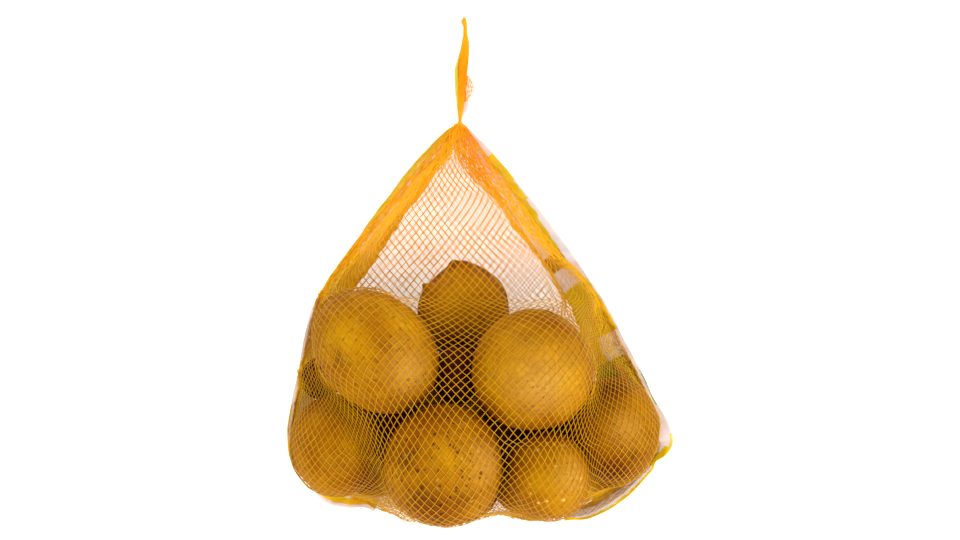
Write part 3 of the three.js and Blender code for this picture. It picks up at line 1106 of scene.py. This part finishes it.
def line_object(name, lines):
    """Lines as an object of vertices and edges. Their fourth column says how gathered the net is."""
    vertices = np.vstack(lines)
    edges, start = [], 0
    for line in lines:
        edges += [(start + k, start + k + 1) for k in range(len(line) - 1)]
        start += len(line)
    mesh = bpy.data.meshes.new(name)
    mesh.from_pydata(vertices[:, :3].tolist(), edges, [])
    set_attribute(mesh, "gathered", vertices[:, 3])
    return linked(name, mesh)


def new_tree(name, **inputs):
    """An empty Geometry Nodes tree with named inputs."""
    return new_group(name, {"Geometry": "Geometry", **inputs}, {"Geometry": "Geometry"}, "GeometryNodeTree")


def finished_tree(tree, given, made, geometry):
    """A tree that smooths what it has grown, gives it its finish and hands it out."""
    smooth = add_node(tree, "GeometryNodeSetShadeSmooth", {"Geometry": geometry})
    real = add_node(tree, "GeometryNodeRealizeInstances", {"Geometry": smooth.outputs[0]})
    last = add_node(tree, "GeometryNodeSetMaterial", {
        "Geometry": real.outputs[0], "Material": given.outputs["Finish"]})
    tree.links.new(last.outputs[0], made.inputs[0])
    return tree


def strand_tree():
    """Lines of vertices become tubes."""
    tree, given, made = new_tree("net strands", Radius="Float", Sides="Int", Finish="Material")
    curve = add_node(tree, "GeometryNodeMeshToCurve", {"Mesh": given.outputs["Geometry"]})
    ring = add_node(tree, "GeometryNodeCurvePrimitiveCircle", {
        "Resolution": given.outputs["Sides"], "Radius": given.outputs["Radius"]})
    bunched = add_node(tree, "GeometryNodeInputNamedAttribute", {"Name": "gathered"}, data_type="FLOAT")
    slim = scaled(tree, bunched.outputs["Attribute"], -SLIMMER, 1.0)
    tube = add_node(tree, "GeometryNodeCurveToMesh", {
        "Curve": curve.outputs[0], "Profile Curve": ring.outputs[0], "Scale": slim, "Fill Caps": True})
    return finished_tree(tree, given, made, tube.outputs[0])


def knot_tree():
    """A small bead on every vertex."""
    tree, given, made = new_tree("net knots", Radius="Float", Finish="Material")
    bead = add_node(tree, "GeometryNodeMeshUVSphere", {
        "Radius": given.outputs["Radius"], "Segments": 4, "Rings": 2})
    beads = add_node(tree, "GeometryNodeInstanceOnPoints", {
        "Points": given.outputs["Geometry"], "Instance": bead.outputs[0]})
    return finished_tree(tree, given, made, beads.outputs[0])


def grown(made, tree, values):
    """The plain mesh piece that a tree grows from an object's lines or points."""
    modifier = made.modifiers.new(tree.name, "NODES")
    modifier.node_group = tree
    sockets = {item.name: item.identifier for item in tree.interface.items_tree if item.in_out == "INPUT"}
    for label, value in values.items():
        modifier[sockets[label]] = value
    made.update_tag()
    ready = made.evaluated_get(bpy.context.evaluated_depsgraph_get())
    mesh = bpy.data.meshes.new_from_object(ready)
    made.modifiers.remove(modifier)
    made.data = mesh
    return made


STRANDS = strand_tree()
KNOTS = knot_tree()
print("tree nodes:", len(STRANDS.nodes), "for strands,", len(KNOTS.nodes), "for knots")

# %% [markdown]
# ## The net's plastic
# The strands are drawn plastic, orange and only a little glossy. In the open tent nothing dark lies
# behind them, so their colour there is painted brighter than over the heap, as painted light. Where
# the net is gathered many strands lie over each other: there the colour is painted brighter still,
# redder towards the neck, has a painted glow as if lit from behind, and has flecks where what lies
# behind shows through.

# %% Net finish
NET_ORANGE = colour(206, 152, 6)
NET_DEEP = colour(194, 132, 4)
# painted light on gathered strands, redder near the neck
NET_GATHERED_LIT = colour(255, 200, 30)
NET_RED = colour(240, 132, 4)
# painted light: strands in the open tent are coloured brighter
NET_TENT_LIT = colour(240, 164, 0)
TENT_FROM, TENT_TO = -12 * MM, 18 * MM
RED_FROM, RED_TO = 20 * MM, 75 * MM
RED_LEFT, RED_RIGHT = -24 * MM, -4 * MM
NET_COVER = 0.97
# a painted glow of gathered strands
NET_PAINTED_GLOW = 0.16
NET_SHINE = 0.08


def net_plastic():
    """Orange plastic with painted light: brighter in the tent and where the net is gathered, with a painted
    glow there.
    """
    material, tree, shader, where = new_material("net plastic")
    cloudy = use_group(tree, MOTTLE, Vector=where, Coarse=60.0, Fine=700.0)
    gathered = painted(tree, "gathered")
    base = mix_colour(tree, cloudy.outputs["Clouds"], NET_DEEP, NET_ORANGE)
    spot = add_node(tree, "ShaderNodeSeparateXYZ", {0: where})
    base = mix_colour(tree, ramp(tree, spot.outputs["Y"], TENT_FROM, TENT_TO), base, NET_TENT_LIT)
    high = times(tree, ramp(tree, spot.outputs["Y"], RED_FROM, RED_TO),
                 ramp(tree, spot.outputs["X"], RED_LEFT, RED_RIGHT))
    patchy = scaled(tree, cloudy.outputs["Clouds"], 0.6, 0.4)
    bright = mix_colour(tree, times(tree, high, patchy), NET_GATHERED_LIT, NET_RED)
    base = mix_colour(tree, gathered, base, bright)
    flecks = use_group(tree, SPOTS, Vector=where, Scale=330.0, Size=0.42, Share=0.45)
    thin = scaled(tree, flecks.outputs["Mask"], -0.3, -0.3)
    feed_all(tree, shader, {
        "Base Color": base, "Roughness": scaled(tree, cloudy.outputs["Grain"], 0.2, 0.35),
        "Specular IOR Level": NET_SHINE, "Alpha": scaled(tree, gathered, thin, NET_COVER),
        "Emission Color": base, "Emission Strength": times(tree, gathered, NET_PAINTED_GLOW)})
    return material


plastic = net_plastic()
print("plastic nodes:", len(plastic.node_tree.nodes))

# %% [markdown]
# ## The net
# The front sheet and the back sheet each become three pieces: the strands that rise to the right,
# those that rise to the left, and the knots where they meet.

# %% Make the net
net_pieces = []


def grow_strands(name, lines):
    """Lines of the net as tubes of its plastic."""
    values = {"Radius": STRAND_RADIUS, "Sides": SIDES, "Finish": plastic}
    net_pieces.append(grown(line_object(name, lines), STRANDS, values))
    return net_pieces[-1]


for name, sheet in (("net_front", front), ("net_back", back)):
    sheet = np.concatenate([sheet, gathered_share(sheet)[..., None]], axis=-1)
    for label, lean in (("_rising", 1), ("_falling", -1)):
        strands = grow_strands(name + label, slanted_lines(sheet, lean))
    even = sheet[2:-1:2, 1:-1].reshape(-1, 4)
    odd = sheet[1::2, :-1].reshape(-1, 4)
    points = line_object(name + "_knots", [even, odd])
    beads = grown(points, KNOTS, {"Radius": BEAD_RADIUS, "Finish": plastic})
    net_pieces.append(beads)
    print(name, "faces:", len(strands.data.polygons), "knot faces:", len(beads.data.polygons))

# %% [markdown]
# ## The film's fields of colour
# The film is milky white with fields of colour. Each field is a box in *along* and *across*, with a
# rough edge that comes from a little noise. A shared group makes the box, and each film lays its own
# fields over each other. Ink closes the film, so a field is less see-through than the bare white.
# The film also has a faint painted glow, as if lit from behind.

# %% Film finish
FILM_WHITE = colour(236, 220, 214)
FILM_CLEAR = colour(236, 236, 242)
FILM_YELLOW = colour(238, 202, 0)
FILM_DEEP_YELLOW = colour(244, 190, 10)
FILM_GREEN = colour(116, 156, 30)
FILM_BROWN = colour(190, 124, 0)
FILM_ORANGE = colour(240, 140, 20)
FILM_OLIVE = colour(206, 186, 30)
ROUGH_EDGE = 2.4 * MM
SOFT_EDGE = 0.2 * MM
BARE_COVER, INK_COVER = 0.68, 0.26
# a painted glow, as if light came through the film from behind
FILM_PAINTED_GLOW = 0.05
FILM_ROUGH = 0.25


def field_group():
    """A box in along and across with rough edges: 1 inside and 0 outside."""
    sockets = dict.fromkeys(("Along", "Across", "From", "To", "Outer", "Inner"), "Float")
    group, given, made = new_group("print field", sockets, {"Mask": "Float"})
    place = add_node(group, "ShaderNodeCombineXYZ", {0: given.outputs["Along"], 1: given.outputs["Across"]})
    noise = add_node(group, "ShaderNodeTexNoise", {"Vector": place.outputs[0], "Scale": 420.0, "Detail": 3.0})
    split = add_node(group, "ShaderNodeSeparateColor", {0: noise.outputs["Color"]})
    mask = None
    for label, low, high, part in (("Along", "From", "To", 0), ("Across", "Outer", "Inner", 1)):
        shift = times(group, math_node(group, "SUBTRACT", split.outputs[part], 0.5), ROUGH_EDGE)
        value = math_node(group, "ADD", given.outputs[label], shift)
        above = math_node(group, "SUBTRACT", value, given.outputs[low])
        below = math_node(group, "SUBTRACT", given.outputs[high], value)
        both = times(group, ramp(group, above, -SOFT_EDGE, SOFT_EDGE),
                     ramp(group, below, -SOFT_EDGE, SOFT_EDGE))
        mask = both if mask is None else times(group, mask, both)
    group.links.new(mask, made.inputs["Mask"])
    return group


FIELD = field_group()
PRINT = {
    "film_left": [
        (-5, 300, -5, 40, FILM_DEEP_YELLOW), (-5, 75, -5, 4.2, FILM_YELLOW), (4, 95, 4.2, 7.5, FILM_WHITE),
        (130, 300, -5, 2, FILM_WHITE), (195, 225, -5, 0.8, FILM_YELLOW), (238, 275, 3, 6, FILM_YELLOW),
        (238, 300, 6, 40, FILM_WHITE)],
    "film_right": [
        (36, 104, -5, 12, FILM_CLEAR), (24, 45, -5, 5.5, FILM_YELLOW), (44, 58, 1.2, 7, FILM_YELLOW),
        (57, 70, 2.4, 8, FILM_YELLOW), (69, 82, 3.8, 9, FILM_YELLOW), (81, 97, 4.6, 10, FILM_YELLOW),
        (93, 104, 5, 18, FILM_BROWN),
        (116, 151, 1, 40, FILM_YELLOW), (145, 178, 14, 40, FILM_YELLOW), (166, 196, 3, 40, FILM_GREEN),
        (170, 186, 8, 12, FILM_ORANGE), (178, 200, -5, 0.6, FILM_GREEN), (219, 243, -5, 1.6, FILM_YELLOW),
        (228, 243, -5, 4, FILM_YELLOW), (243, 310, -5, 1.5, FILM_YELLOW),
        (236, 310, 5.5, 40, FILM_DEEP_YELLOW)],
    "tail_film": [(-5, 60, -5, 3, FILM_OLIVE), (-5, 60, 3, 9, FILM_YELLOW)],
    "tail_sliver": [(-5, 60, -5, 0.5, FILM_YELLOW)],
}


def film_finish(name):
    """Milky film with the fields of colour of one piece and a faint painted glow."""
    material, tree, shader, where = new_material(name.replace("_", " ") + " plastic")
    along = painted(tree, "along")
    across = painted(tree, "across")
    cloudy = use_group(tree, MOTTLE, Vector=where, Coarse=90.0, Fine=600.0)
    base = FILM_WHITE
    printed = 0.0
    for start, end, outer, inner, ink in PRINT[name]:
        box = use_group(tree, FIELD, Along=along, Across=across, From=start * MM, To=end * MM,
                        Outer=outer * MM, Inner=inner * MM)
        base = mix_colour(tree, box.outputs["Mask"], base, ink)
        inked = 0.0 if ink in (FILM_WHITE, FILM_CLEAR) else 1.0
        kept = times(tree, printed, math_node(tree, "SUBTRACT", 1.0, box.outputs["Mask"]))
        printed = scaled(tree, box.outputs["Mask"], inked, kept)
    base = mix_colour(tree, times(tree, cloudy.outputs["Clouds"], 0.12), base, FILM_BROWN)
    bump = add_node(tree, "ShaderNodeBump", {
        "Height": cloudy.outputs["Clouds"], "Strength": 0.5, "Distance": 0.6 * MM})
    feed_all(tree, shader, {
        "Base Color": base, "Roughness": FILM_ROUGH, "Alpha": scaled(tree, printed, INK_COVER, BARE_COVER),
        "Emission Color": base, "Emission Strength": FILM_PAINTED_GLOW, "Normal": bump.outputs[0]})
    return material


for name, piece in films.items():
    piece.data.materials.append(film_finish(name))
    print(name, "fields:", len(PRINT[name]))

# %% [markdown]
# ## The tail
# Above the neck the spare net is twisted into a tail. Its outline comes from stations along it: the
# place in y, the left and the right edge, and the thickness, in millimetres. Inside is a pleated core,
# because the folded net is too dense to see through, and strands wind round it in both directions.

# %% Tail core and strands
TAIL_STATIONS = [
    (85, -13.2, -10, 6), (87.8, -12.2, -10.8, 4.5), (94, -12.9, -9.8, 5), (100.7, -13.6, -8.4, 6),
    (105.2, -14.2, -8, 6.5), (109.7, -14.4, -7.5, 6.5), (114.1, -14.6, -7.1, 6.5), (118.6, -14.4, -6.7, 6),
    (123.5, -13, -6.4, 5), (128.9, -11.4, -6.2, 4.4), (134.2, -10.4, -6.3, 3.6), (138.2, -9.6, -7.2, 2.8),
    (143.1, -9.4, -7.5, 2.6), (146, -10.4, -7.6, 2.2), (148.5, -9.6, -8.2, 1.4)]
TAIL_STEPS = 90
TAIL_AROUND = 60
TAIL_PLEATS = 5
TAIL_STRANDS = 36
TAIL_LIFT = 0.4 * MM
TAIL_TWIST = 2.6
TAIL_WIND = 5.0
# how gathered the tail's strands count, which also sets their painted brightness and glow
TAIL_GATHERED = 0.5


def tail_table():
    """Even steps along the tail: y, left, right and thickness."""
    stations = np.array(TAIL_STATIONS) * MM
    wanted = np.linspace(stations[0, 0], stations[-1, 0], TAIL_STEPS)
    return np.stack([wanted] + [np.interp(wanted, stations[:, 0], stations[:, k]) for k in (1, 2, 3)], axis=1)


TAIL_TABLE = tail_table()


def tail_point(row, angle, fill):
    """A point of the tail's outline, a share of the way out from its middle line."""
    y, left, right, thick = row
    return np.stack([(left + right) / 2 + fill * (right - left) / 2 * np.cos(angle), np.full_like(angle, y),
                     TAIL_LIFT + thick / 2 + fill * thick / 2 * np.sin(angle)], axis=-1)


def tail_core():
    """The pleated inside of the tail as a closed mesh."""
    angle = np.linspace(0, 2 * np.pi, TAIL_AROUND, endpoint=False)
    rings = []
    for k, row in enumerate(TAIL_TABLE):
        twist = TAIL_TWIST * k / TAIL_STEPS
        fill = 0.8 + 0.1 * np.cos(TAIL_PLEATS * angle + twist * 3) + 0.04 * np.cos(11 * angle - twist * 7)
        rings.append(tail_point(row, angle, fill))
    points = np.concatenate(rings)
    place = np.arange(len(points)).reshape(TAIL_STEPS, TAIL_AROUND)
    after = np.roll(place, -1, axis=1)
    faces = np.stack([place[:-1], place[1:], after[1:], after[:-1]], axis=-1).reshape(-1, 4).tolist()
    faces += [place[0].tolist(), place[-1][::-1].tolist()]
    mesh = bpy.data.meshes.new("tail_core")
    mesh.from_pydata(points.tolist(), [], faces)
    mesh.materials.append(plastic)
    outward_faces(mesh)
    return linked("tail_core", mesh)


def tail_lines():
    """Strands that wind round the tail in both directions."""
    share = np.linspace(0, 1, TAIL_STEPS)
    lines = []
    for turn in (1, -1):
        for start in np.linspace(0, 2 * np.pi, TAIL_STRANDS, endpoint=False):
            angle = start + turn * TAIL_WIND * share
            fill = 0.88 + 0.1 * np.cos(TAIL_PLEATS * angle + 3 * TAIL_TWIST * share)
            line = [tail_point(row, np.array(a), f) for row, a, f in zip(TAIL_TABLE, angle, fill)]
            lines.append(np.column_stack([line, np.full(TAIL_STEPS, TAIL_GATHERED)]))
    return lines


net_pieces.append(tail_core())
tail_strands = grow_strands("tail_strands", tail_lines())
print("tail strands faces:", len(tail_strands.data.polygons))

# %% [markdown]
# ## Loose net on the tail
# Some cells of the twisted net have sprung out of its right side as loops, and its cut end has a few
# loose tips. Loops of growing size that lean to and fro look like a small loose piece of net.

# %% Loops and tips
LOBE_FROM, LOBE_TO = 98.5 * MM, 114.5 * MM
LOBE_LOOPS = 5
LOBE_STEPS = 24
LOBE_REACH = 5.2 * MM
# these also set the painted brightness and glow of loops and tips
LOBE_GATHERED = 0.45
TIP_GATHERED = 0.2
TAIL_TIPS = [
    [(-9.2, 143, 2), (-10.2, 145.4, 1.8), (-11.2, 146.8, 1.4)],
    [(-9, 144, 2.2), (-9.8, 146, 1.8), (-10.6, 147.4, 1.2)],
    [(-8.6, 144, 2), (-8.7, 147, 1.8), (-8.4, 149, 1.4)],
    [(-8.9, 145, 1.6), (-9, 147.6, 1.4), (-9.2, 148.8, 1)]]


def tail_row(y):
    """The tail's row at a place along it."""
    return [y] + [np.interp(y, TAIL_TABLE[:, 0], TAIL_TABLE[:, k]) for k in (1, 2, 3)]


def lobe_lines():
    """Loops of loose net that stand out of the tail's right side."""
    share = np.linspace(0, 1, LOBE_STEPS)
    lines = []
    for k in range(LOBE_LOOPS):
        for lean in (-1, 1):
            size = (k + 1) / LOBE_LOOPS
            skew = share + lean * 0.12 * np.sin(np.pi * share)
            y = LOBE_FROM + (LOBE_TO - LOBE_FROM) * (0.5 + (skew - 0.5) * (0.6 + 0.4 * size))
            root = np.array([tail_row(place)[2] for place in y])
            x = root - 0.8 * MM + size * LOBE_REACH * np.sin(np.pi * share) ** 0.8
            z = 3 * MM + lean * 0.7 * MM * np.sin(2 * np.pi * share) + 0.25 * MM * k
            lines.append(np.stack([x, y, z, np.full(LOBE_STEPS, LOBE_GATHERED)], axis=1))
    for tip in TAIL_TIPS:
        lines.append(np.column_stack([np.array(tip) * MM, np.full(len(tip), TIP_GATHERED)]))
    return lines


lobe = grow_strands("tail_lobe", lobe_lines())
print("loops and tips faces:", len(lobe.data.polygons))

# %% [markdown]
# ## The cut edge of the bottom seam
# The seam closes the bag below, and the net was cut off just past it. What is left are half cells:
# two short strands from neighbouring knots to a tip, each a little different.

# %% Fringe
FRINGE_LEFT, FRINGE_RIGHT = -60 * MM, 47 * MM
FRINGE_LONG = (0.3, 2.4)
# this also sets the fringe's painted brightness and glow
FRINGE_GATHERED = 0.3
FRINGE_SEED = 31


def fringe_lines(border):
    """Cut half cells that hang out of the bottom seam."""
    draw = np.random.default_rng(FRINGE_SEED)
    lines = []
    for first, second in zip(border[:-1], border[1:]):
        if FRINGE_LEFT < first[0] < FRINGE_RIGHT:
            hang = np.array([draw.normal() * 0.6, -draw.uniform(*FRINGE_LONG), -1.5]) * MM
            tip = (first + second) / 2 + hang
            lines.append(np.column_stack([[first, tip, second], np.full(3, FRINGE_GATHERED)]))
    return lines


fringe = grow_strands("net_fringe", fringe_lines(front[0]))
print("fringe faces:", len(fringe.data.polygons))

# %% [markdown]
# ## Film on the tail
# The ends of the side films seem to run on into the tail. A ribbon of film lies against its left
# side, and a loose sliver sticks out of its right side. Both are sheets like the side films, closed
# by the same helper, and have the same kind of finish.

# %% Tail films
TAIL_FILM_FROM, TAIL_FILM_TO = 94 * MM, 127 * MM
RIBBON_STEPS, RIBBON_ROWS = 60, 10
SLIVER_FROM, SLIVER_TO = 89 * MM, 103.5 * MM
SLIVER_STEPS, SLIVER_ROWS = 40, 8


def tail_film():
    """A ribbon of film along the left side of the tail."""
    places = np.linspace(TAIL_FILM_FROM, TAIL_FILM_TO, RIBBON_STEPS)
    ends = np.sin(np.pi * np.linspace(0.04, 0.96, RIBBON_STEPS)) ** 0.5
    angles = [np.radians(np.linspace(180 - 62 * end, 180 + 30 * end, RIBBON_ROWS)) for end in ends]
    sheet = np.stack([tail_point(tail_row(y), angle, 1.02) for y, angle in zip(places, angles)])
    along = np.repeat((places - places[0])[:, None], RIBBON_ROWS, axis=1)
    across = np.repeat(np.linspace(0, 4 * MM, RIBBON_ROWS)[None, :], RIBBON_STEPS, axis=0)
    return closed_sheet("tail_film", sheet, {"along": along, "across": across})


def tail_sliver():
    """A loose sliver of film that sticks out of the tail's right side."""
    share = np.linspace(0, 1, SLIVER_STEPS)
    places = SLIVER_FROM + share * (SLIVER_TO - SLIVER_FROM)
    root = np.array([tail_row(y)[2] for y in places]) - 0.6 * MM
    width = (0.4 + 3.0 * np.sin(np.pi * share) ** 1.3) * MM
    across = np.linspace(0, 1, SLIVER_ROWS)[None, :] * width[:, None]
    lift = (2.4 + 0.6 * np.sin(9 * share))[:, None] * MM + 0.3 * across
    y = np.repeat(places[:, None], SLIVER_ROWS, axis=1)
    sheet = np.stack([root[:, None] + across, y, lift], axis=-1)
    along = y - places[0]
    return closed_sheet("tail_sliver", sheet, {"along": along, "across": across})


tail_films = {"tail_film": tail_film(), "tail_sliver": tail_sliver()}
for name, piece in tail_films.items():
    piece.data.materials.append(film_finish(name))
    print(name, "faces:", len(piece.data.polygons))

# %% [markdown]
# ## The floor
# The photograph's ground is almost white and has no shadow. A pale floor that also glows a little
# comes close to it, and its glow lights the bag's sides from below. It is only a stage for the picture
# and no part of the bag.

# %% Floor
FLOOR_HALF = 3
FLOOR_GLOW = 0.36

floor_mesh = bpy.data.meshes.new("floor")
corners = [(x * FLOOR_HALF, y * FLOOR_HALF, 0) for x, y in ((-1, -1), (1, -1), (1, 1), (-1, 1))]
floor_mesh.from_pydata(corners, [], [(0, 1, 2, 3)])
floor = linked("floor", floor_mesh)
material, tree, shader, _ = new_material("pale floor")
feed_all(tree, shader, {
    "Base Color": (0.92, 0.92, 0.92, 1), "Roughness": 0.9,
    "Emission Color": (1, 1, 1, 1), "Emission Strength": FLOOR_GLOW})
floor.data.materials.append(material)
print("floor's width in m:", 2 * FLOOR_HALF)

# %% [markdown]
# ## Handing over
# Every piece moves with the root body of the frame, and the plain solid that it replaces is hidden.

# %% Hand over
for piece in potatoes:
    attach(piece, "root")
    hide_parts("net_bag")
for piece in net_pieces:
    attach(piece, "root")
    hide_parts("net_bag")

for name, piece in films.items():
    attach(piece, "root")
    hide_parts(name)
for piece in tail_films.values():
    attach(piece, "root")
    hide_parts("net_bag")

print("pieces:", len(potatoes) + len(net_pieces) + len(films) + len(tail_films))
